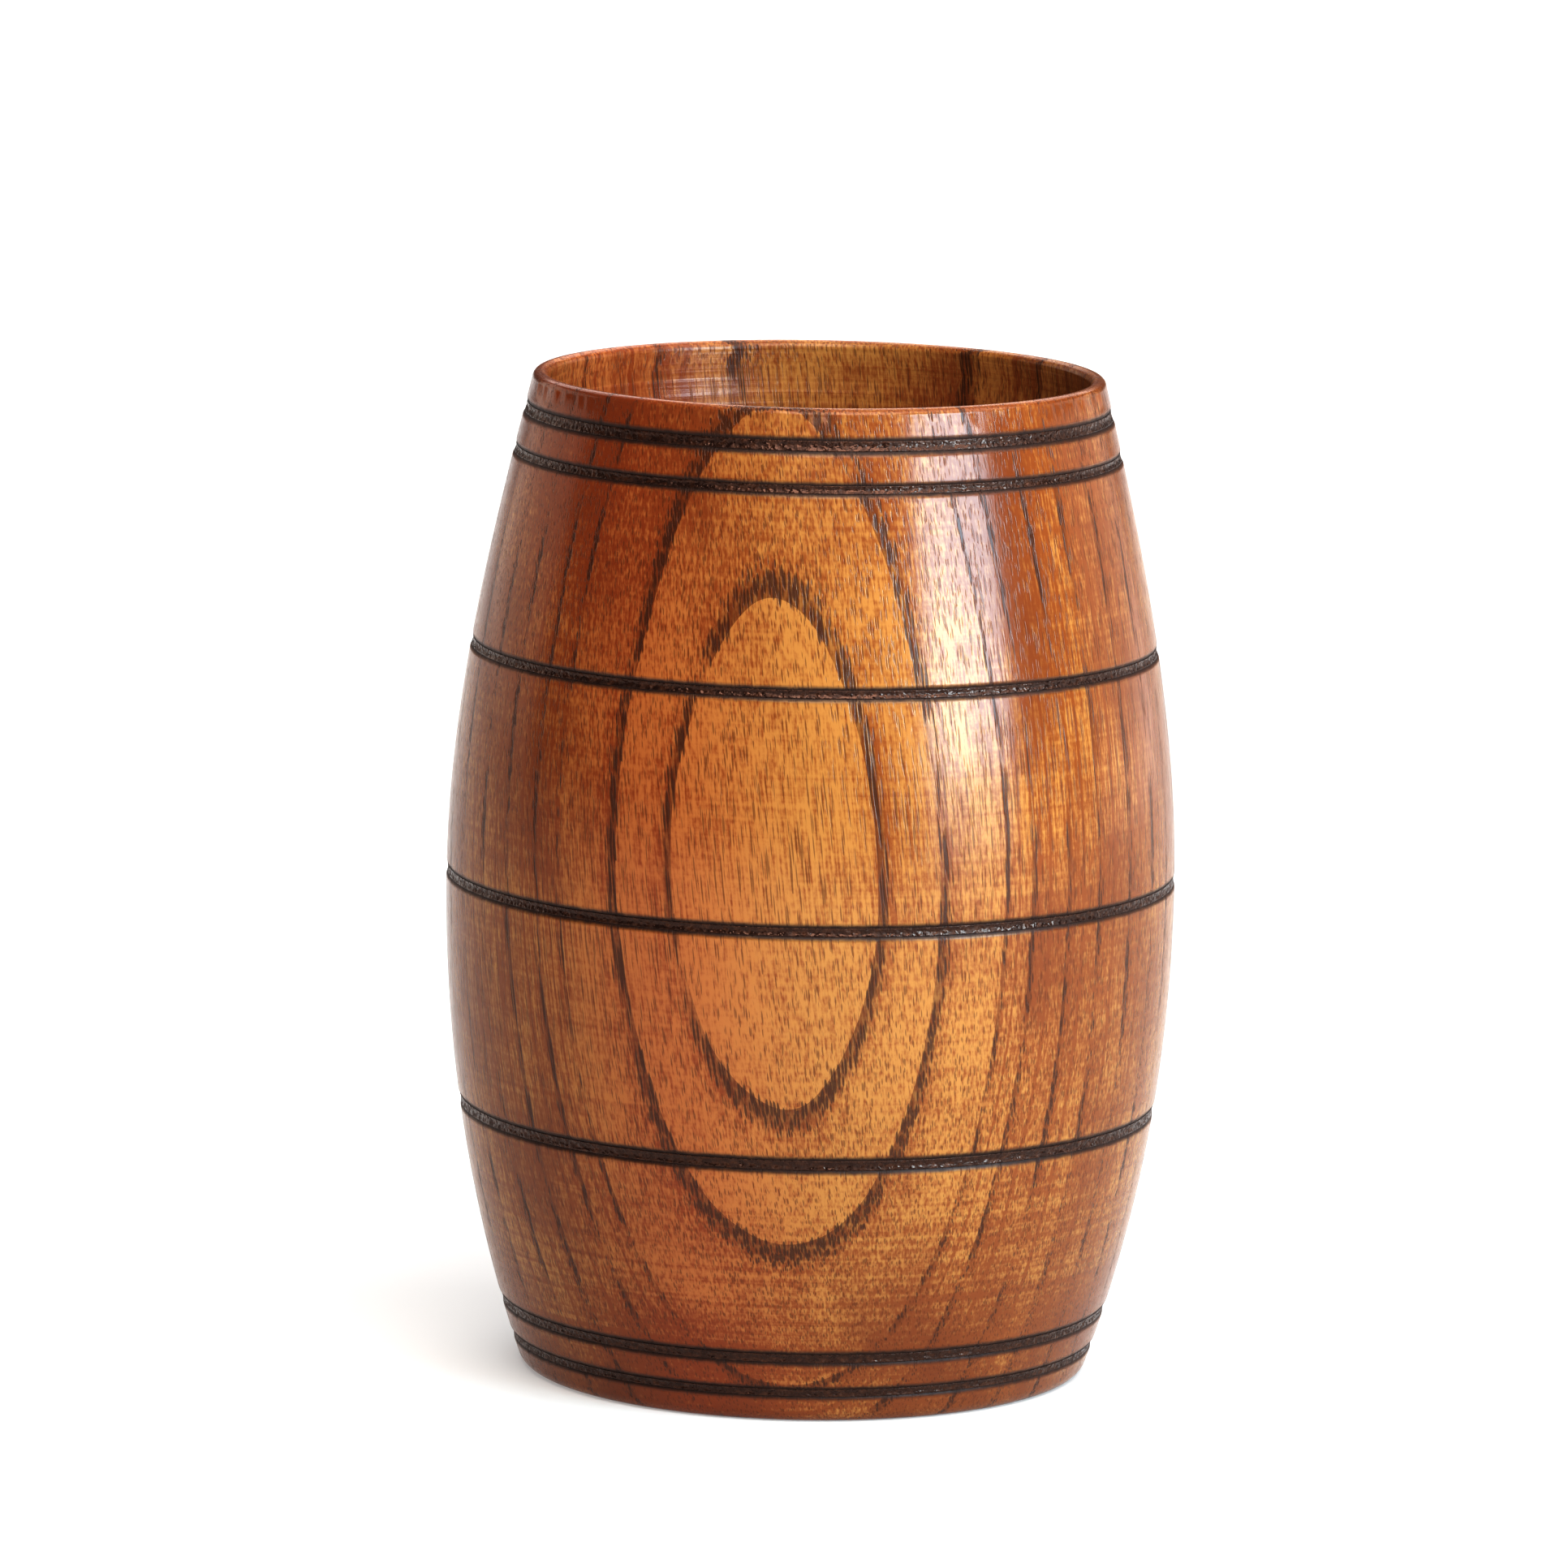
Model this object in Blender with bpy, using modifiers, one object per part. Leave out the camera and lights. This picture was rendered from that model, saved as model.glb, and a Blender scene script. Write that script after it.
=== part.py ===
"""A barrel-shaped wooden cup: one turned block with seven dark scorched lines lying in turned grooves.

Metres, +Z up along the turning axis. The origin is the centre of the flat base, and the face of
the block with the oval grain figure looks towards -Y.
"""

import math

import bpy

MM = 0.001

# Outside of the turning
CUP_HEIGHT = 90.0 * MM
BELLY_HEIGHT = 44.3 * MM
BELLY_RADIUS = 32.7 * MM
RIM_RADIUS = 25.6 * MM
RIM_LEAN = math.radians(13.8)
FOOT_RADIUS = 25.7 * MM
FOOT_LEAN = math.radians(19.0)
FOOT_ROUND = 1.1 * MM

# Hollow of the cup
LIP_WALL = 1.4 * MM
SIDE_WALL = 3.6 * MM
LIP_RUN = 8.0 * MM
FLOOR_THICKNESS = 7.0 * MM
FLOOR_FILLET = 9.0 * MM

# Where the scorched lines run: from the rim down, round the belly and off that line, and from the base up
RIM_LINE_DROP = 3.2 * MM
RIM_LINE_PITCH = 3.7 * MM
BELLY_LINE_RISE = 0.8 * MM
SHOULDER_LINE_RISE = 20.6 * MM
WAIST_LINE_DROP = 20.9 * MM
FOOT_LINE_RISE = 2.8 * MM
FOOT_LINE_PITCH = 3.3 * MM

# Width of each line at the surface of the wood
UPPER_RIM_LINE_WIDTH = 1.7 * MM
LOWER_RIM_LINE_WIDTH = 1.35 * MM
SHOULDER_LINE_WIDTH = 1.4 * MM
BELLY_LINE_WIDTH = 1.5 * MM
WAIST_LINE_WIDTH = 1.7 * MM
UPPER_FOOT_LINE_WIDTH = 1.55 * MM
LOWER_FOOT_LINE_WIDTH = 1.35 * MM

# Section of a groove, and of the scorched layer that lies in it
GROOVE_DEPTH = 0.8 * MM
LINE_RECESS = 0.28 * MM
LINE_HOLLOW = 0.1 * MM
LINE_CLEARANCE = 0.06 * MM

# Fineness of the turned surfaces
TURN_STEPS = 48
ROUND_STEPS = 4
GROOVE_STEPS = 4
SIDE_STEP = 4.0 * MM
MERGE_DISTANCE = 0.01 * MM

LIP_RADIUS = LIP_WALL / 2
RIM_HEIGHT = CUP_HEIGHT - LIP_RADIUS
FILLET_TOP = FLOOR_THICKNESS + FLOOR_FILLET
BELLY_LINE_HEIGHT = BELLY_HEIGHT + BELLY_LINE_RISE

# Each line's height on the cup and its width
LINES = {
    "upper_rim_line": (CUP_HEIGHT - RIM_LINE_DROP, UPPER_RIM_LINE_WIDTH),
    "lower_rim_line": (CUP_HEIGHT - RIM_LINE_DROP - RIM_LINE_PITCH, LOWER_RIM_LINE_WIDTH),
    "shoulder_line": (BELLY_LINE_HEIGHT + SHOULDER_LINE_RISE, SHOULDER_LINE_WIDTH),
    "belly_line": (BELLY_LINE_HEIGHT, BELLY_LINE_WIDTH),
    "waist_line": (BELLY_LINE_HEIGHT - WAIST_LINE_DROP, WAIST_LINE_WIDTH),
    "upper_foot_line": (FOOT_LINE_RISE + FOOT_LINE_PITCH, UPPER_FOOT_LINE_WIDTH),
    "lower_foot_line": (FOOT_LINE_RISE, LOWER_FOOT_LINE_WIDTH),
}


def eased_drop(share, drop, end_slope, run):
    """Fall from the belly's radius at a share of the run: level at the belly, end_slope at the end."""
    slope_part = end_slope * run * (share**3 - share**2)
    return drop * (3 * share**2 - 2 * share**3) + slope_part


def outer_radius(height):
    """Radius of the barrel's side, grooves left out: one eased curve up to the rim, one down to the foot."""
    if height >= BELLY_HEIGHT:
        run = RIM_HEIGHT - BELLY_HEIGHT
        share = (height - BELLY_HEIGHT) / run
        return BELLY_RADIUS - eased_drop(share, BELLY_RADIUS - RIM_RADIUS, math.tan(RIM_LEAN), run)
    run = BELLY_HEIGHT - FOOT_ROUND
    share = (BELLY_HEIGHT - height) / run
    return BELLY_RADIUS - eased_drop(share, BELLY_RADIUS - FOOT_RADIUS, math.tan(FOOT_LEAN), run)


def wall_thickness(height):
    """Thin at the lip, easing to the full side wall over the run below it."""
    share = min(max((RIM_HEIGHT - height) / LIP_RUN, 0.0), 1.0)
    return LIP_WALL + (SIDE_WALL - LIP_WALL) * (3 * share**2 - 2 * share**3)


def inner_radius(height):
    """Radius of the drinking hollow's side."""
    return outer_radius(height) - wall_thickness(height)


def steps_between(start, end, longest):
    """Heights from start to end, both included, no further apart than longest."""
    count = max(1, math.ceil(abs(end - start) / longest))
    return [start + (end - start) * index / count for index in range(count + 1)]


def rounded(start, corner, end):
    """Points of a rounded corner: a curve that leaves start and reaches end along the corner's two sides."""
    points = []
    for index in range(ROUND_STEPS + 1):
        t = index / ROUND_STEPS
        weights = ((1 - t) ** 2, 2 * t * (1 - t), t**2)
        radius = sum(w * p[0] for w, p in zip(weights, (start, corner, end)))
        height = sum(w * p[1] for w, p in zip(weights, (start, corner, end)))
        points.append((radius, height))
    return points


def groove_arc(width, depth):
    """A half-ellipse across a groove, from its upper edge to its lower: (height off its middle, depth)."""
    angles = [math.pi * index / GROOVE_STEPS for index in range(GROOVE_STEPS + 1)]
    return [(width / 2 * math.cos(a), depth * math.sin(a)) for a in angles]


def inside_profile():
    """The hollow from the middle of its floor up to the lip."""
    wall_slope = (inner_radius(FILLET_TOP + SIDE_STEP) - inner_radius(FILLET_TOP)) / SIDE_STEP
    wall_foot = inner_radius(FILLET_TOP) - wall_slope * FLOOR_FILLET
    fillet = rounded(
        (wall_foot - FLOOR_FILLET, FLOOR_THICKNESS),
        (wall_foot, FLOOR_THICKNESS),
        (inner_radius(FILLET_TOP), FILLET_TOP),
    )
    wall = [(inner_radius(z), z) for z in steps_between(FILLET_TOP, RIM_HEIGHT, SIDE_STEP)]
    return [(0.0, FLOOR_THICKNESS)] + fillet + wall[1:]


def lip_profile():
    """The half-round over the lip, between the hollow and the side."""
    middle = RIM_RADIUS - LIP_RADIUS
    angles = [math.pi * (1 - index / (2 * ROUND_STEPS)) for index in range(1, 2 * ROUND_STEPS)]
    return [(middle + LIP_RADIUS * math.cos(a), RIM_HEIGHT + LIP_RADIUS * math.sin(a)) for a in angles]


def side_profile():
    """The barrel's side from the rim down to the foot, dipping into each groove on the way."""
    points = []
    top = RIM_HEIGHT
    for height, width in LINES.values():
        points += [(outer_radius(z), z) for z in steps_between(top, height + width / 2, SIDE_STEP)[:-1]]
        arc = groove_arc(width, GROOVE_DEPTH)
        points += [(outer_radius(height + rise) - depth, height + rise) for rise, depth in arc]
        top = height - width / 2
    return points + [(outer_radius(z), z) for z in steps_between(top, FOOT_ROUND, SIDE_STEP)[1:]]


def foot_profile():
    """The foot's rounded edge and the flat base, in to the axis."""
    base_corner = FOOT_RADIUS - math.tan(FOOT_LEAN) * FOOT_ROUND
    edge = rounded((FOOT_RADIUS, FOOT_ROUND), (base_corner, 0.0), (base_corner - FOOT_ROUND, 0.0))
    return edge[1:] + [(0.0, 0.0)]


def line_profile(height, width):
    """Section of one scorched line, about its own height: a hollow face, and a back that fits the groove."""
    back = groove_arc(width - 2 * LINE_CLEARANCE, GROOVE_DEPTH - LINE_CLEARANCE)
    brink, below_brink = back[0], back[1]
    edge = brink[0] + (below_brink[0] - brink[0]) * LINE_RECESS / below_brink[1]
    face = [(edge, LINE_RECESS), (0.0, LINE_RECESS + LINE_HOLLOW), (-edge, LINE_RECESS)]
    section = face + back[-2:0:-1]
    return [(outer_radius(height + rise) - depth, rise) for rise, depth in section]


def wood_material(name, colour, roughness):
    """A plain finish that tells the pieces apart."""
    material = bpy.data.materials.new(name)
    material.use_nodes = True
    shader = material.node_tree.nodes["Principled BSDF"]
    shader.inputs["Base Color"].default_value = (*colour, 1.0)
    shader.inputs["Roughness"].default_value = roughness
    shader.inputs["Metallic"].default_value = 0.0
    return material


def turned_object(name, profile, closed, material, collection):
    """A solid turned about the Z axis from its half section, which runs down its outer side."""
    mesh = bpy.data.meshes.new(name)
    count = len(profile)
    edges = [(index, index + 1) for index in range(count - 1)]
    if closed:
        edges.append((count - 1, 0))
    mesh.from_pydata([(radius, 0.0, height) for radius, height in profile], edges, [])
    piece = bpy.data.objects.new(name, mesh)
    collection.objects.link(piece)
    screw = piece.modifiers.new("turn", "SCREW")
    screw.axis = "Z"
    screw.angle = 2 * math.pi
    screw.steps = TURN_STEPS
    screw.render_steps = TURN_STEPS
    screw.use_merge_vertices = True
    screw.merge_threshold = MERGE_DISTANCE
    screw.use_smooth_shade = True
    piece.data.materials.append(material)
    return piece


def build_cup():
    """The turned block and its seven lines, all carried by one empty at the middle of the base."""
    for old in list(bpy.data.objects):
        bpy.data.objects.remove(old, do_unlink=True)
    cup = bpy.data.collections.new("barrel_cup")
    bpy.context.scene.collection.children.link(cup)
    base_centre = bpy.data.objects.new("base_centre", None)
    cup.objects.link(base_centre)

    lacquered_wood = wood_material("lacquered_wood", (0.36, 0.13, 0.035), 0.35)
    scorched_wood = wood_material("scorched_wood", (0.035, 0.022, 0.018), 0.5)

    block_profile = inside_profile() + lip_profile() + side_profile() + foot_profile()
    block = turned_object("turned_body", block_profile, False, lacquered_wood, cup)
    block.parent = base_centre

    for name, (height, width) in LINES.items():
        line = turned_object(name, line_profile(height, width), True, scorched_wood, cup)
        line.parent = base_centre
        line.location.z = height


build_cup()
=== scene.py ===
"""The looks of a barrel-shaped wooden cup: one turned, lacquered block with seven scorched lines."""

import math

import bpy
import numpy as np
from mathutils import Euler, Matrix, Vector


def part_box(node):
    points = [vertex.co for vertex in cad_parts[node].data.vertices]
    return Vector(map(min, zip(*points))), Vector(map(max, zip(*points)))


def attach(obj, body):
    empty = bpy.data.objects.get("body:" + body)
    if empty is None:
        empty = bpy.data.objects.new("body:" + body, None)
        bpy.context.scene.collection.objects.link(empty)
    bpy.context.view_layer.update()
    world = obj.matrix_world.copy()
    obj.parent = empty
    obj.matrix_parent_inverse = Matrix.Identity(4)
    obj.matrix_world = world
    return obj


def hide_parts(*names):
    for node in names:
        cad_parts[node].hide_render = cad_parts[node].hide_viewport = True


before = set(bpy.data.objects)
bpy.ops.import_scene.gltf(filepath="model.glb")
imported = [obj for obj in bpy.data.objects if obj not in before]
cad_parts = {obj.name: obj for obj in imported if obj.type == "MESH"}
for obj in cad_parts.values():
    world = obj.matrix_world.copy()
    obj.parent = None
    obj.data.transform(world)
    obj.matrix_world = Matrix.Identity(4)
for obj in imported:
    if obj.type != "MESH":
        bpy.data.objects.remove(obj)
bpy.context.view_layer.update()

# The turned body is one block of open-pored wood, swelling from rim to belly and drawn in again to the foot.
# It is turned on a lathe, hollowed to a thin lip, and cut with seven grooves for the scorched lines.
# Clear satin lacquer covers it inside and out.
MM = 0.001
body_top_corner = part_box("turned_body")[1]
CUP_HEIGHT = body_top_corner.z
BELLY_RADIUS = body_top_corner.x
BELLY_HEIGHT = 44.3 * MM
RIM_RADIUS = 25.6 * MM
RIM_SLOPE = math.tan(math.radians(13.8))
FOOT_RADIUS = 25.7 * MM
FOOT_SLOPE = math.tan(math.radians(19.0))
FOOT_ROUND = 1.1 * MM
LIP_WALL = 1.4 * MM
SIDE_WALL = 3.6 * MM
LIP_RUN = 8.0 * MM
FLOOR_THICKNESS = 7.0 * MM
FLOOR_FILLET = 9.0 * MM
RIM_HEIGHT = CUP_HEIGHT - LIP_WALL / 2
FILLET_TOP = FLOOR_THICKNESS + FLOOR_FILLET

# The grooves: their depth, their reach in half widths of a line, and the spread of the scorching round them
LINE_NODES = (
    "upper_rim_line",
    "lower_rim_line",
    "shoulder_line",
    "belly_line",
    "waist_line",
    "upper_foot_line",
    "lower_foot_line",
)
GROOVE_DEPTH = 0.28 * MM
GROOVE_REACH = 1.35
SCORCH_INSIDE = 0.28 * MM
SCORCH_OUTSIDE = 0.48 * MM
line_ends = np.array([[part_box(node)[0].z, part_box(node)[1].z] for node in LINE_NODES])
line_heights = line_ends.mean(1)
line_widths = np.ptp(line_ends, axis=1)

# Fineness of the turned surface
TURN_STEPS = 360
SIDE_STEP = 1.4 * MM
GROOVE_STEPS = 19
WALL_STEPS = 40
FILLET_STEPS = 14
LIP_STEPS = 13
FOOT_STEPS = 9
FLAT_STEPS = 8


def eased(share):
    """A share from 0 to 1 with its ends eased: three squares less two cubes, held level outside."""
    share = np.clip(share, 0, 1)
    return 3 * share**2 - 2 * share**3


def side_radius(height):
    """Radius of the barrel's side: a cubic from the belly to the rim and one from the belly to the foot.
    Each is level at the belly, and at its end has the stated radius and slope."""
    above = height > BELLY_HEIGHT
    run = np.where(above, RIM_HEIGHT - BELLY_HEIGHT, BELLY_HEIGHT - FOOT_ROUND)
    drop = BELLY_RADIUS - np.where(above, RIM_RADIUS, FOOT_RADIUS)
    slope = np.where(above, RIM_SLOPE, FOOT_SLOPE)
    share = np.abs(height - BELLY_HEIGHT) / run
    return BELLY_RADIUS - drop * (3 * share**2 - 2 * share**3) - slope * run * (share**3 - share**2)


def groove_share(height):
    """How deep in a groove each height lies: 1 at its middle, easing to 0 past the line's edges."""
    off = np.abs(height[:, None] - line_heights) / (line_widths / 2)
    return 1 - eased(off.min(1) / GROOVE_REACH)


def scorch_share(height):
    """How scorched each height is: 1 well inside a line's edge, easing to 0 at a set distance outside it."""
    past_edge = (np.abs(height[:, None] - line_heights) - line_widths / 2).min(1)
    return 1 - eased((past_edge + SCORCH_INSIDE) / (SCORCH_INSIDE + SCORCH_OUTSIDE))


def bent_corner(start, corner, end, steps):
    """A rounded corner: a quadratic curve that leaves start and reaches end along the corner's two sides."""
    t = np.linspace(0, 1, steps)[:, None]
    return (1 - t) ** 2 * np.array(start) + 2 * t * (1 - t) * np.array(corner) + t**2 * np.array(end)


def body_section():
    """Half the block's section as (radius, height), from the middle of the inner floor to that of the base.
    It runs up the hollow, over the half-round lip, down the side through the grooves, and in below."""
    wall_heights = np.linspace(FILLET_TOP, RIM_HEIGHT, WALL_STEPS)
    walls = LIP_WALL + (SIDE_WALL - LIP_WALL) * eased((RIM_HEIGHT - wall_heights) / LIP_RUN)
    wall = np.stack([side_radius(wall_heights) - walls, wall_heights], 1)
    wall_slope = (wall[1] - wall[0]) / (wall_heights[1] - wall_heights[0])
    wall_foot = wall[0] - wall_slope * FLOOR_FILLET
    fillet = bent_corner(wall_foot - (FLOOR_FILLET, 0), wall_foot, wall[0], FILLET_STEPS)
    floor_radii = np.linspace(0, fillet[0, 0], FLAT_STEPS)[:-1]
    floor = np.stack([floor_radii, np.full_like(floor_radii, FLOOR_THICKNESS)], 1)

    over = np.linspace(np.pi, 0, LIP_STEPS)[1:-1]
    lip_middle = (RIM_RADIUS - LIP_WALL / 2, RIM_HEIGHT)
    lip = np.stack([np.cos(over), np.sin(over)], 1) * LIP_WALL / 2 + lip_middle

    across = np.linspace(-1, 1, GROOVE_STEPS)
    reach = line_widths / 2 + SCORCH_OUTSIDE
    in_grooves = (line_heights[:, None] + reach[:, None] * across).ravel()
    between = np.arange(FOOT_ROUND, RIM_HEIGHT, SIDE_STEP)
    between = between[scorch_share(between) == 0]
    side_heights = np.unique(np.concatenate([in_grooves, between, [RIM_HEIGHT]]))[::-1]
    side_radii = side_radius(side_heights) - GROOVE_DEPTH * groove_share(side_heights)
    side = np.stack([side_radii, side_heights], 1)

    base_corner = FOOT_RADIUS - FOOT_SLOPE * FOOT_ROUND
    base_edge = (base_corner - FOOT_ROUND, 0)
    foot_edge = bent_corner((FOOT_RADIUS, FOOT_ROUND), (base_corner, 0), base_edge, FOOT_STEPS)
    base_radii = np.linspace(foot_edge[-1, 0], 0, FLAT_STEPS)[1:]
    base = np.stack([base_radii, np.zeros_like(base_radii)], 1)
    return np.concatenate([floor, fillet[:-1], wall, lip, side[:-1], foot_edge, base])


def turned_piece(name, radius, height, poles):
    """A piece carried round the axis: grid point (i, j) is radius[i, j] out at angle j, height[i, j] up.
    With poles, the first and last rows are one point on the axis. Without, the section closes on itself."""
    rows, turns = radius.shape
    angle = 2 * np.pi * np.arange(turns) / turns
    points = np.stack([radius * np.sin(angle), -radius * np.cos(angle), height], -1).reshape(-1, 3)
    number = np.arange(rows * turns).reshape(rows, turns)
    if poles:
        number[0] = 0
        number[-1] = number[-1, 0]
    upper, lower = (number[:-1], number[1:]) if poles else (number, np.roll(number, -1, 0))
    corners = np.stack([upper, np.roll(upper, -1, 1), np.roll(lower, -1, 1), lower], -1).reshape(-1, 4)
    doubled = corners == np.roll(corners, -1, 1)
    sizes = 4 - doubled.sum(1)
    used, corner_points = np.unique(corners[~doubled], return_inverse=True)

    mesh = bpy.data.meshes.new(name)
    mesh.vertices.add(len(used))
    mesh.vertices.foreach_set("co", points[used].ravel())
    mesh.loops.add(len(corner_points))
    mesh.loops.foreach_set("vertex_index", corner_points.ravel())
    mesh.polygons.add(len(sizes))
    mesh.polygons.foreach_set("loop_start", np.cumsum(sizes) - sizes)
    mesh.update(calc_edges=True)
    mesh.validate()
    mesh.shade_smooth()
    piece = bpy.data.objects.new(name, mesh)
    bpy.context.scene.collection.objects.link(piece)
    return piece


class Wire:
    """A socket in a material's nodes. Sums on it add Math nodes, and add() puts in any other node."""

    def __init__(self, tree, socket=None):
        self.tree = tree
        self.socket = socket

    def add(self, kind, settings=(), sockets=(), output=0):
        """A new node: its settings are set first, then its sockets take values or links."""
        node = self.tree.nodes.new(kind)
        for name, value in dict(settings).items():
            if name == "stops":
                self.set_stops(node.color_ramp.elements, value)
            else:
                setattr(node, name, value)
        for name, value in dict(sockets).items():
            if isinstance(value, Wire):
                self.tree.links.new(value.socket, node.inputs[name])
            else:
                node.inputs[name].default_value = value
        return Wire(self.tree, node.outputs[output] if len(node.outputs) else None)

    def set_stops(self, elements, stops):
        """A ramp's stops, as pairs of place and grey, with the first and last at the ramp's own ends."""
        for place, grey in stops[1:-1]:
            elements.new(place).color = (grey, grey, grey, 1)
        elements[0].color = (stops[0][1],) * 3 + (1,)
        elements[-1].color = (stops[-1][1],) * 3 + (1,)

    def output(self, name):
        """Another output of the same node."""
        return Wire(self.tree, self.socket.node.outputs[name])

    def maths(self, operation, *values):
        """A Math node on these values."""
        return self.add("ShaderNodeMath", {"operation": operation}, dict(enumerate(values)))

    def ease(self, low, high):
        """0 below low, 1 above high, eased between."""
        sockets = {"Value": self, "From Min": low, "From Max": high}
        return self.add("ShaderNodeMapRange", {"interpolation_type": "SMOOTHSTEP"}, sockets)

    def part(self, axis):
        """One part of a place: X, Y or Z."""
        return self.add("ShaderNodeSeparateXYZ", (), {0: self}, axis)

    def vector(self, operation, other):
        """A Vector Math node on this place and another."""
        return self.add("ShaderNodeVectorMath", {"operation": operation}, {0: self, 1: other})

    def stretch(self, factors):
        """A place with each of its parts multiplied."""
        return self.vector("MULTIPLY", factors)

    def noise(self, detail, output=0):
        """Cloudy noise at this place, about 0.5, with its scale in the place itself."""
        sockets = {"Vector": self, "Scale": 1.0, "Detail": detail}
        return self.add("ShaderNodeTexNoise", (), sockets, output)

    def sway(self, reach, waves):
        """This place, shifted level by cloudy noise: by the reach at most, with so many waves in a unit."""
        drift = self.stretch(waves).noise(1.0, "Color").vector("SUBTRACT", (0.5, 0.5, 0.5))
        return drift.stretch((2 * reach, 2 * reach, 0)).vector("ADD", self)

    def cells(self):
        """Scattered points, one to a unit cell: the distance to the nearest."""
        return self.add("ShaderNodeTexVoronoi", (), {"Vector": self, "Scale": 1.0})

    def mix(self, first, second, share, blend="MIX"):
        """The first colour with a share of the second laid over it, or multiplied in."""
        settings = {"data_type": "RGBA", "blend_type": blend}
        return self.add("ShaderNodeMix", settings, {0: share, 6: first, 7: second}, 2)

    def __add__(self, other):
        return self.maths("ADD", self, other)

    def __radd__(self, other):
        return self.maths("ADD", other, self)

    def __sub__(self, other):
        return self.maths("SUBTRACT", self, other)

    def __rsub__(self, other):
        return self.maths("SUBTRACT", other, self)

    def __mul__(self, other):
        return self.maths("MULTIPLY", self, other)

    def __rmul__(self, other):
        return self.maths("MULTIPLY", other, self)


def new_finish(name):
    """An empty node material, and a wire into its nodes."""
    material = bpy.data.materials.new(name)
    material.use_nodes = True
    material.node_tree.nodes.clear()
    return material, Wire(material.node_tree)


def place_in_mm(wire):
    """The place on the piece, in millimetres of the cup's own frame."""
    return wire.add("ShaderNodeTexCoord", output="Object").stretch((1 / MM, 1 / MM, 1 / MM))


def close_finish(wire, sockets):
    """The Principled shader with these sockets, led to the material's output."""
    shader = wire.add("ShaderNodeBsdfPrincipled", (), sockets)
    wire.add("ShaderNodeOutputMaterial", (), {"Surface": shader})


# Growth of the wood, in millimetres: where the tree's pith ran past the cup, and the width of each ring
PITH = (-9.4, -99.8)
PITH_LEAN = (-0.1136, 0.074)
PITH_HEIGHT = 45.0
FIRST_RING = 65.6
RING_WIDTHS = (3.7, 2.75, 4.55, 2.2, 3.7, 3.9, 4.8, 4.7, 4.3, 4.4, 3.8, 3.6, 3.6, 4.0, 5.3, 5.7, 3.4, 4.4)

# Slow sway of the grain, the rings and the clouds of tone: its millimetres, and its waves in a millimetre
GRAIN_SWAY = (0.2, (0.12, 0.12, 0.05))
RING_SWAY = (0.25, (0.05, 0.05, 0.03))
CLOUD_SWAY = (6.0, (0.06, 0.06, 0.04))

# How many marks of each kind lie in a millimetre of wood, across the grain both ways and along it
VESSELS_PER_MM = (4.4, 4.4, 0.18)
PORES_PER_MM = (6.0, 6.0, 0.30)
FIBRES_PER_MM = (5.0, 5.0, 0.12)
FLECKS_PER_MM = (3.4, 3.4, 2.0)
CLOUDS_PER_MM = (0.11, 0.11, 0.06)
BREAKS_PER_MM = (0.35, 0.35, 0.08)
LATHE_MARKS_PER_MM = (0.03, 0.03, 2.2)
CHAR_SPECKS_PER_MM = (1.1, 1.1, 1.6)

# Millimetres from the pith, across the grain or up the cup over which the wood's tone changes, and over
# which painted shade comes in on the left and toward the base and rim
BROWNING = (68.0, 82.0)
PALING = (98.0, 116.0)
LATE_LINES = (74.0, 77.0)
# Painted shade: across the grain, a band on the left of the front, the side turned from the lights, is made
# redder and darker
LEFT_SHADE_RISE = (-27.0, -14.0)
LEFT_SHADE_FALL = (-14.0, 2.0)
FOOT_MARKS = (6.0, 30.0)
# Painted shade: over these heights the wood is darkened toward the base and toward the rim
BASE_SHADE = (3.0, 14.0)
RIM_SHADE = (58.0, 84.0)

# Shares of a ring's year over which its vessels, its dark line, its early wood and its late line come or go
VESSELS_GO = (0.07, 0.26)
RING_LINE_GOES = (0.05, 0.17)
EARLY_WOOD_GOES = (0.04, 0.5)
LATE_LINE_COMES = (0.44, 0.50)
LATE_LINE_GOES = (0.50, 0.58)

# How sharp the edges of tubes, broken lines, red clouds and char are, and the whole range of the wood's tone
TUBE_EDGE = (-0.06, 0.16)
BREAK_EDGE = (0.41, 0.67)
CLOUD_EDGE = (0.35, 0.80)
CHAR_EDGE = (0.05, 0.95)
TONE_RANGE = (-0.25, 0.85)

ORANGE_WOOD = (0.410, 0.200, 0.063, 1)
BROWN_WOOD = (0.242, 0.074, 0.021, 1)
RED_WOOD = (0.165, 0.044, 0.015, 1)
# The next tint reddens the painted shade on the left of the front
RUSSET_SHADE_TINT = (1.0, 0.76, 0.78, 1)
PORE_BROWN = (0.105, 0.029, 0.009, 1)
VESSEL_BROWN = (0.060, 0.020, 0.010, 1)
CHAR_BROWN = (0.032, 0.012, 0.007, 1)
LACQUER_ROUGHNESS = 0.17
LACQUER_IOR = 1.42
PORE_DEPTH = 0.04 * MM
PORE_STRENGTH = 0.5


def along_grain(place):
    """A place slid level by the pith's lean at its height, so that pith and fibres run straight up."""
    rise = place.part("Z") - PITH_HEIGHT
    level_x = place.part("X") - rise * PITH_LEAN[0]
    level_y = place.part("Y") - rise * PITH_LEAN[1]
    return place.add("ShaderNodeCombineXYZ", (), {"X": level_x, "Y": level_y, "Z": place.part("Z")})


def growth(spot):
    """How far a spot lies from the pith, and the season of its ring: 0 at the ring's start, 1 at its end."""
    swayed = spot.sway(*RING_SWAY)
    out_x = swayed.part("X") - PITH[0]
    out_y = swayed.part("Y") - PITH[1]
    depth = spot.maths("SQRT", out_x * out_x + out_y * out_y)
    span = sum(RING_WIDTHS)
    count = len(RING_WIDTHS)
    stops = [(sum(RING_WIDTHS[:ring]) / span, ring / count) for ring in range(count + 1)]
    years = spot.add("ShaderNodeValToRGB", {"stops": stops}, {0: (depth - FIRST_RING) * (1 / span)})
    return depth, spot.maths("FRACT", years * count)


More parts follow.
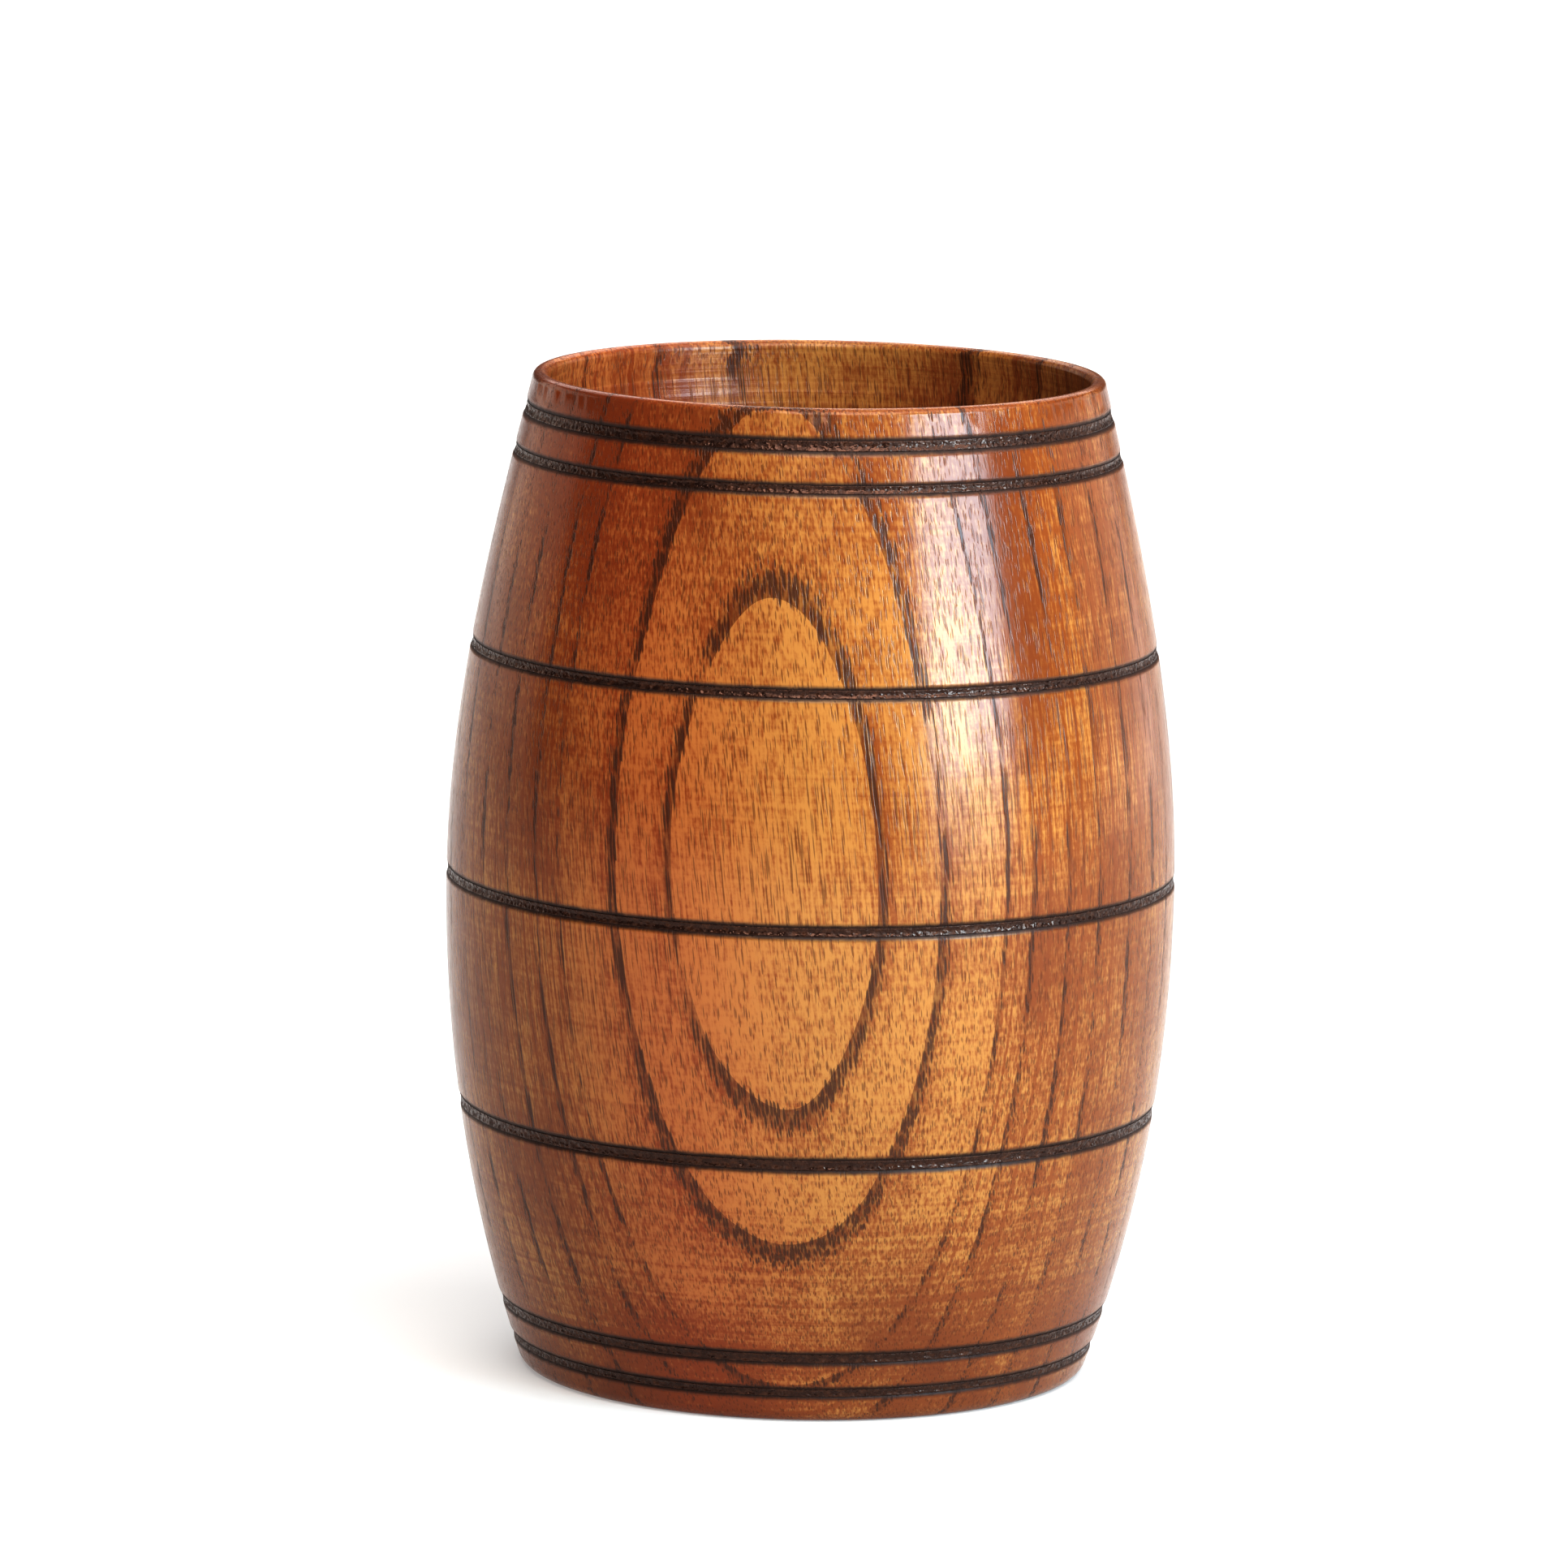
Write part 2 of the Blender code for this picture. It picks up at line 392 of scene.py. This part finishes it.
def lacquered_wood():
    """Solid wood: rings about the leaning pith, each opening with rows of large vessels that soon thin out.
    The vessels are long tubes up the block, which the turned side cuts to dashes, or lines at the belly."""
    material, wire = new_finish("lacquered_wood")
    place = place_in_mm(wire)
    grain = along_grain(place).sway(*GRAIN_SWAY)
    depth, season = growth(grain)
    scorch = wire.add("ShaderNodeAttribute", {"attribute_name": "scorch"}, output="Fac")
    hollow = wire.add("ShaderNodeAttribute", {"attribute_name": "hollow"}, output="Fac")

    # Vessels and pores: a tube shows where its middle is nearer than the tube is wide
    outer = depth.ease(*BROWNING) - depth.ease(*PALING) * 0.5
    breaks = grain.stretch(BREAKS_PER_MM).noise(1.0)
    strong = (breaks + (1 - outer) * 0.20).ease(*BREAK_EDGE)
    vessels = grain.stretch(VESSELS_PER_MM).cells()
    vessel_middle = vessels.output("Position").stretch([1 / count for count in VESSELS_PER_MM])
    vessel_season = growth(vessel_middle)[1]
    vessel_size = (1 - vessel_season.ease(*VESSELS_GO)) * (0.34 + strong * 0.26)
    vessel = (vessel_size - vessels).ease(*TUBE_EDGE)
    pores = grain.stretch(PORES_PER_MM).cells()
    pore_size = 0.08 + pores.output("Color") * 0.58 - season * 0.08
    pore = (pore_size - pores).ease(*TUBE_EDGE)

    # Marks of the growth and of the lathe, and painted shade on the left of the front and toward the cup's
    # base and rim
    fibres = grain.stretch(FIBRES_PER_MM).noise(2.0)
    flecks = grain.stretch(FLECKS_PER_MM).noise(2.0)
    clouds = grain.sway(*CLOUD_SWAY).stretch(CLOUDS_PER_MM).noise(2.0)
    lathe = place.stretch(LATHE_MARKS_PER_MM).noise(2.0)
    early = 1 - season.ease(*EARLY_WOOD_GOES)
    ring_line = (1 - season.ease(*RING_LINE_GOES)) * strong
    late_line = season.ease(*LATE_LINE_COMES) * (1 - season.ease(*LATE_LINE_GOES)) * depth.ease(*LATE_LINES)
    # Painted shade: a band on the left of the front, turned from the lights, is reddened and darkened; some
    # of its redness is the wood's own
    across = grain.part("X")
    left_shade_band = across.ease(*LEFT_SHADE_RISE) - across.ease(*LEFT_SHADE_FALL)
    up = place.part("Z")
    foot = 1 - up.ease(*FOOT_MARKS)
    # Painted shade: darker toward the base, where the foot draws in under the belly, and toward the rim, but
    # not inside the hollow
    base = 1 - up.ease(*BASE_SHADE)
    end_shade = (base * 1.4 + up.ease(*RIM_SHADE)) * (1 - hollow)

    # Tone of the wood from orange to brown with painted shade at base, rim and left, then the left's russet
    # painted shade, red clouds, dark lines and tubes, and the char
    tone = outer * 0.50 + end_shade * (0.20 + left_shade_band * 0.25) + early * (0.12 + strong * 0.25) + late_line * 0.6
    tone = tone + (clouds - 0.5) + (fibres - 0.5) * 2.0 + (flecks - 0.5) * 1.2 + (lathe - 0.5) * (0.7 + foot)
    colour = wire.mix(ORANGE_WOOD, BROWN_WOOD, tone.ease(*TONE_RANGE))
    # Painted shade: the left band is multiplied by a russet tint
    colour = wire.mix(colour, RUSSET_SHADE_TINT, left_shade_band, "MULTIPLY")
    # Red clouds show more in the browner wood and in the painted shade at base and rim
    colour = wire.mix(colour, RED_WOOD, clouds.ease(*CLOUD_EDGE) * (outer + end_shade * 0.5) * 0.55)
    colour = wire.mix(colour, VESSEL_BROWN, ring_line * 0.42)
    colour = wire.mix(colour, PORE_BROWN, pore * 0.58)
    colour = wire.mix(colour, VESSEL_BROWN, vessel * 0.80)
    specks = place.stretch(CHAR_SPECKS_PER_MM).noise(2.0)
    char = (scorch + (specks - 0.5) * 0.6 * scorch).ease(*CHAR_EDGE)
    colour = wire.mix(colour, CHAR_BROWN, char)

    # The lacquer sinks into the tubes, and shows the marks of turning most inside the hollow
    sunken = pore * 0.5 + vessel
    relief = fibres * 0.3 - sunken + lathe * (0.15 + hollow * 2.4)
    bump_sockets = {"Strength": PORE_STRENGTH, "Distance": PORE_DEPTH, "Height": relief}
    sockets = {
        "Base Color": colour,
        "Roughness": LACQUER_ROUGHNESS + sunken * 0.1 + char * 0.35 + hollow * 0.10,
        "IOR": LACQUER_IOR,
        "Normal": wire.add("ShaderNodeBump", (), bump_sockets),
    }
    close_finish(wire, sockets)
    return material


def mark_points(piece, name, shares):
    """A share for each point of a piece, which its material reads by this name."""
    piece.data.attributes.new(name, "FLOAT", "POINT").data.foreach_set("value", shares.astype(float))


section = body_section()
radii = np.repeat(section[:, :1], TURN_STEPS, 1)
heights = np.repeat(section[:, 1:], TURN_STEPS, 1)
turned_body = turned_piece("turned_body_turning", radii, heights, poles=True)
body_points = np.empty(len(turned_body.data.vertices) * 3)
turned_body.data.vertices.foreach_get("co", body_points)
point_x, point_y, point_height = body_points.reshape(-1, 3).T
under_side = side_radius(point_height) - np.hypot(point_x, point_y)
mark_points(turned_body, "scorch", scorch_share(point_height) * (under_side < LIP_WALL / 2))
mark_points(turned_body, "hollow", (under_side > LIP_WALL / 2) * (point_height > FLOOR_THICKNESS / 2))
turned_body.data.materials.append(lacquered_wood())
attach(turned_body, "root")
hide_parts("turned_body")

# The scorched lines are the charred bottoms of the seven grooves, burnt black by friction on the lathe.
# The char is gritty, thins out at its edges, and shines here and there under the lacquer.
LINE_STEPS = 2048
FACE_STEPS = 15
BACK_STEPS = 7
LINE_EDGE = 0.66
LINE_CLEARANCE = 0.02 * MM
CHAR_FILM = 0.08 * MM
CHAR_RIM = 0.02 * MM
GRIT_HEIGHT = 0.018 * MM
GRIT_SIZE = 0.10 * MM
GRIT_SEED = 7


def grit(seed, across):
    """Gritty unevenness of a line's face, about 0: white noise, smoothed over a grain's size both ways."""
    draws = np.random.default_rng(seed).standard_normal((FACE_STEPS, LINE_STEPS))
    step_round = 2 * np.pi * BELLY_RADIUS / LINE_STEPS
    wave_round = np.fft.rfftfreq(LINE_STEPS, step_round)
    wave_across = np.fft.fftfreq(FACE_STEPS, across / FACE_STEPS)[:, None]
    keep = np.exp(-2 * (np.pi * GRIT_SIZE) ** 2 * (wave_round**2 + wave_across**2))
    field = np.fft.irfft2(np.fft.rfft2(draws) * keep, draws.shape)
    return field / field.std()


def scorched_line(node, middle, width, seed):
    """One line carried round the cup: a film that lies in the groove, out to a share of the line's width.
    Its back keeps clear of the wood by the clearance. Its gritty face swells from rim to film by one
    less the fourth power of the share from its middle to its edge."""
    face_share = np.linspace(1, -1, FACE_STEPS)
    back_share = np.linspace(-1, 1, BACK_STEPS)
    share = np.concatenate([face_share, back_share])
    height = middle + share * LINE_EDGE * width / 2
    wood = side_radius(height) - GROOVE_DEPTH * groove_share(height)
    radius = np.repeat((wood + LINE_CLEARANCE)[:, None], LINE_STEPS, 1)
    swell = (1 - face_share**4)[:, None]
    radius[:FACE_STEPS] += CHAR_RIM + (CHAR_FILM - CHAR_RIM + GRIT_HEIGHT * grit(seed, width)) * swell
    return turned_piece(node + "_char", radius, np.repeat(height[:, None], LINE_STEPS, 1), poles=False)


# Marks in a millimetre of char, its colours, and how matt it is where it is bare and where it is glazed
BROWN_PATCHES_PER_MM = (1.5, 1.5, 2.5)
GLAZED_SPOTS_PER_MM = (2.2, 2.2, 2.2)
GRAINS_PER_MM = (3.0, 3.0, 3.0)
BROWN_EDGE = (0.40, 0.75)
GLAZE_EDGE = (0.42, 0.54)
CHAR_DARK = (0.024, 0.010, 0.007, 1)
CHAR_LIGHT = (0.065, 0.026, 0.014, 1)
CHAR_GLINT = (1.0, 0.66, 0.55, 1)
BARE_ROUGHNESS = 0.50
GLAZED_ROUGHNESS = 0.16
CHAR_IOR = 1.60
GRAIN_DEPTH = 0.12 * MM
GRAIN_STRENGTH = 0.8


def scorched_wood():
    """Char: near black and matt, browner where wood shows through, with small glazed spots that glint."""
    material, wire = new_finish("scorched_wood")
    place = place_in_mm(wire)
    brown = place.stretch(BROWN_PATCHES_PER_MM).noise(3.0).ease(*BROWN_EDGE)
    glaze = place.stretch(GLAZED_SPOTS_PER_MM).noise(1.0).ease(*GLAZE_EDGE)
    grains = place.stretch(GRAINS_PER_MM).noise(1.0)
    bump_sockets = {"Strength": GRAIN_STRENGTH, "Distance": GRAIN_DEPTH, "Height": grains}
    sockets = {
        "Base Color": wire.mix(CHAR_DARK, CHAR_LIGHT, brown),
        "Roughness": BARE_ROUGHNESS - glaze * (BARE_ROUGHNESS - GLAZED_ROUGHNESS),
        "IOR": CHAR_IOR,
        "Specular Tint": CHAR_GLINT,
        "Normal": wire.add("ShaderNodeBump", (), bump_sockets),
    }
    close_finish(wire, sockets)
    return material


char_finish = scorched_wood()
for place_down, node in enumerate(LINE_NODES):
    line = scorched_line(node, line_heights[place_down], line_widths[place_down], GRIT_SEED + place_down)
    line.data.materials.append(char_finish)
    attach(line, "root")
    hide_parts(node)

# The cup stands on a plain white table top, far wider than the picture.
# It is a sheet of milky plastic lit from below, which keeps the cup's shadow faint.
SHEET_HALF = 6.0
SHEET_WHITE = (0.43, 0.43, 0.43, 1)
SHEET_ROUGHNESS = 0.9
SHEET_GLOW = (1.0, 1.0, 1.0, 1)
SHEET_GLOW_STRENGTH = 0.42
sheet_mesh = bpy.data.meshes.new("table_top")
sheet_corners = np.array([(-1, -1, 0), (1, -1, 0), (1, 1, 0), (-1, 1, 0)]) * SHEET_HALF
sheet_mesh.from_pydata(sheet_corners, [], [(0, 1, 2, 3)])
table_top = bpy.data.objects.new("table_top", sheet_mesh)
bpy.context.scene.collection.objects.link(table_top)
milky_sheet, sheet_wire = new_finish("milky_sheet")
sheet_sockets = {
    "Base Color": SHEET_WHITE,
    "Roughness": SHEET_ROUGHNESS,
    "Emission Color": SHEET_GLOW,
    "Emission Strength": SHEET_GLOW_STRENGTH,
}
close_finish(sheet_wire, sheet_sockets)
sheet_mesh.materials.append(milky_sheet)

# Soft studio light: a cool panel to the right of the camera, with a dim one at its foot, draws the gleam.
# Broad windows over the camera, at the right and at the back light the wood, pale boards gleam on its edges,
# and a ceiling, a light over the far table and a dim room fill the rest.
DAYLIGHT = (0.50, 0.81, 1.0)
LAMPLIGHT = (1.0, 0.93, 0.85)
PLAIN_LIGHT = (1.0, 1.0, 1.0)
CEILING_STRENGTH = 0.9
CEILING_SPREAD = math.radians(60)
ROOM_COLOUR = (1.0, 1.0, 1.0, 1)
ROOM_STRENGTH = 0.12
CUP_MIDDLE = (0, 0, CUP_HEIGHT / 2)
FAR_TABLE = (0, 1.15, 0)


def soft_panel(name, aim, azimuth, elevation, distance, width, height, power, colour):
    """A rectangular light that looks at the aim, so many degrees right of the camera and up from level."""
    light = bpy.data.lights.new(name, "AREA")
    light.shape = "RECTANGLE"
    light.size = width
    light.size_y = height
    light.energy = power
    light.color = colour
    turn, lift = math.radians(azimuth), math.radians(elevation)
    level = math.cos(lift)
    away = Vector((level * math.sin(turn), -level * math.cos(turn), math.sin(lift)))
    panel = bpy.data.objects.new(name, light)
    panel.location = Vector(aim) + distance * away
    panel.rotation_euler = (math.pi / 2 - lift, 0, turn)
    bpy.context.scene.collection.objects.link(panel)


soft_panel(
    "tall_panel", CUP_MIDDLE, azimuth=51.5, elevation=15, distance=0.60,
    width=0.31, height=0.22, power=4.6, colour=DAYLIGHT,
)
soft_panel(
    "panel_foot", CUP_MIDDLE, azimuth=51.5, elevation=1, distance=0.60,
    width=0.31, height=0.07, power=0.45, colour=DAYLIGHT,
)
soft_panel(
    "window", CUP_MIDDLE, azimuth=10, elevation=46, distance=1.20,
    width=0.90, height=0.90, power=19.0, colour=LAMPLIGHT,
)
soft_panel(
    "right_window", CUP_MIDDLE, azimuth=75, elevation=46, distance=1.20,
    width=0.80, height=0.80, power=8.0, colour=PLAIN_LIGHT,
)
soft_panel(
    "back_window", CUP_MIDDLE, azimuth=180, elevation=52, distance=1.30,
    width=0.90, height=0.90, power=4.0, colour=PLAIN_LIGHT,
)
soft_panel(
    "right_board", CUP_MIDDLE, azimuth=122, elevation=9, distance=0.45,
    width=0.34, height=0.22, power=0.28, colour=PLAIN_LIGHT,
)
soft_panel(
    "left_board", CUP_MIDDLE, azimuth=-125, elevation=12, distance=1.10,
    width=0.90, height=0.50, power=1.8, colour=LAMPLIGHT,
)
soft_panel(
    "far_light", FAR_TABLE, azimuth=180, elevation=80, distance=0.90,
    width=1.80, height=1.40, power=16.0, colour=PLAIN_LIGHT,
)
ceiling_light = bpy.data.lights.new("ceiling", "SUN")
ceiling_light.energy = CEILING_STRENGTH
ceiling_light.angle = CEILING_SPREAD
ceiling = bpy.data.objects.new("ceiling", ceiling_light)
bpy.context.scene.collection.objects.link(ceiling)
room = bpy.data.worlds.new("dim_room")
room.use_nodes = True
background = room.node_tree.nodes["Background"]
background.inputs["Color"].default_value = ROOM_COLOUR
background.inputs["Strength"].default_value = ROOM_STRENGTH
bpy.context.scene.world = room

# The camera stands less than a metre off and looks slightly down on the cup through a long lens.
# It is tilted a little to its left, and its picture is printed with more contrast than plain light gives.
CAMERA_PLACE = (0.0, -0.92169, 0.20289)
CAMERA_PITCH = math.radians(9.247)
CAMERA_YAW = math.radians(-0.157)
CAMERA_ROLL = math.radians(1.025)
LENS = 238.96
SENSOR_WIDTH = 36.0
NEAREST_VIEW = 0.05
PICTURE_GAMMA = 0.65
camera_data = bpy.data.cameras.new("camera")
camera_data.sensor_width = SENSOR_WIDTH
camera_data.lens = LENS
camera_data.clip_start = NEAREST_VIEW
camera = bpy.data.objects.new("camera", camera_data)
level_turn = Euler((math.pi / 2 - CAMERA_PITCH, 0, -CAMERA_YAW)).to_matrix().to_4x4()
camera.matrix_world = Matrix.Translation(CAMERA_PLACE) @ level_turn @ Matrix.Rotation(CAMERA_ROLL, 4, "Z")
bpy.context.scene.collection.objects.link(camera)
bpy.context.scene.camera = camera
bpy.context.scene.view_settings.view_transform = "Standard"
bpy.context.scene.view_settings.gamma = PICTURE_GAMMA
